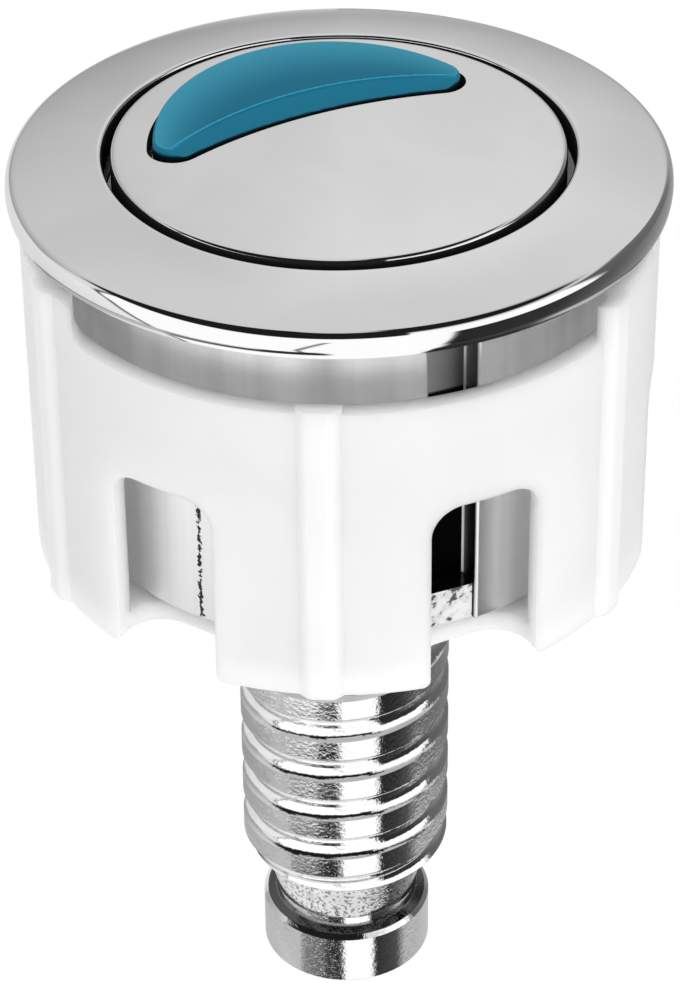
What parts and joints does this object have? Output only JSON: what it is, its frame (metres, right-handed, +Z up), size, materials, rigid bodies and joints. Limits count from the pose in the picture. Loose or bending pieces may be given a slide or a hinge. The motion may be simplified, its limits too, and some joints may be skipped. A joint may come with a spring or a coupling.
{
  "type": "push button cistern actuator",
  "caption": "Round dual flush push button for a cistern lid, with a plated bezel and barrel, a white castellated clamp nut and a hollow threaded stem with push rods.",
  "frame": {"origin": "on the button's axis, in the plane of the bezel's underside, which rests on the cistern lid", "axes": "+Z up along the axis of the buttons, barrel, nut and stem; -Y towards the front, beside the middle of one window of the nut; +X to the right seen from the front"},
  "size_m": [0.048, 0.048, 0.0758],
  "materials": {
    "polished_plating": "polished",
    "satin_plating": "satin",
    "white_plastic": "satin",
    "blue_plastic": "gloss",
    "spring_steel": "satin"
  },
  "bodies": {
    "housing": {"bezel_ring": "polished_plating", "barrel": "satin_plating", "stem_base": "polished_plating", "full_return_spring": "spring_steel"},
    "full": {"full_cap": "polished_plating", "full_carrier": "white_plastic", "full_push_tube": "white_plastic", "half_return_spring": "spring_steel"},
    "half": {"half_button": "blue_plastic", "half_carrier": "white_plastic", "half_push_pin": "white_plastic"},
    "clamp": {"clamp_nut": "white_plastic"}
  },
  "joints": [
    {"name": "full_press", "type": "slide", "parent": "housing", "child": "full", "axis": [0, 0, -1], "range_m": [0, 0.007], "stiffness_N_per_m": 500, "springref_m": -0.006, "deforming": ["full_return_spring"]},
    {"name": "half_press", "type": "slide", "parent": "full", "child": "half", "axis": [0, 0, -1], "range_m": [0, 0.005], "stiffness_N_per_m": 250, "springref_m": -0.003, "deforming": ["half_return_spring"]},
    {"name": "nut_run", "type": "slide", "parent": "housing", "child": "clamp", "axis": [0, 0, -1], "range_m": [0, 0.024]}
  ]
}
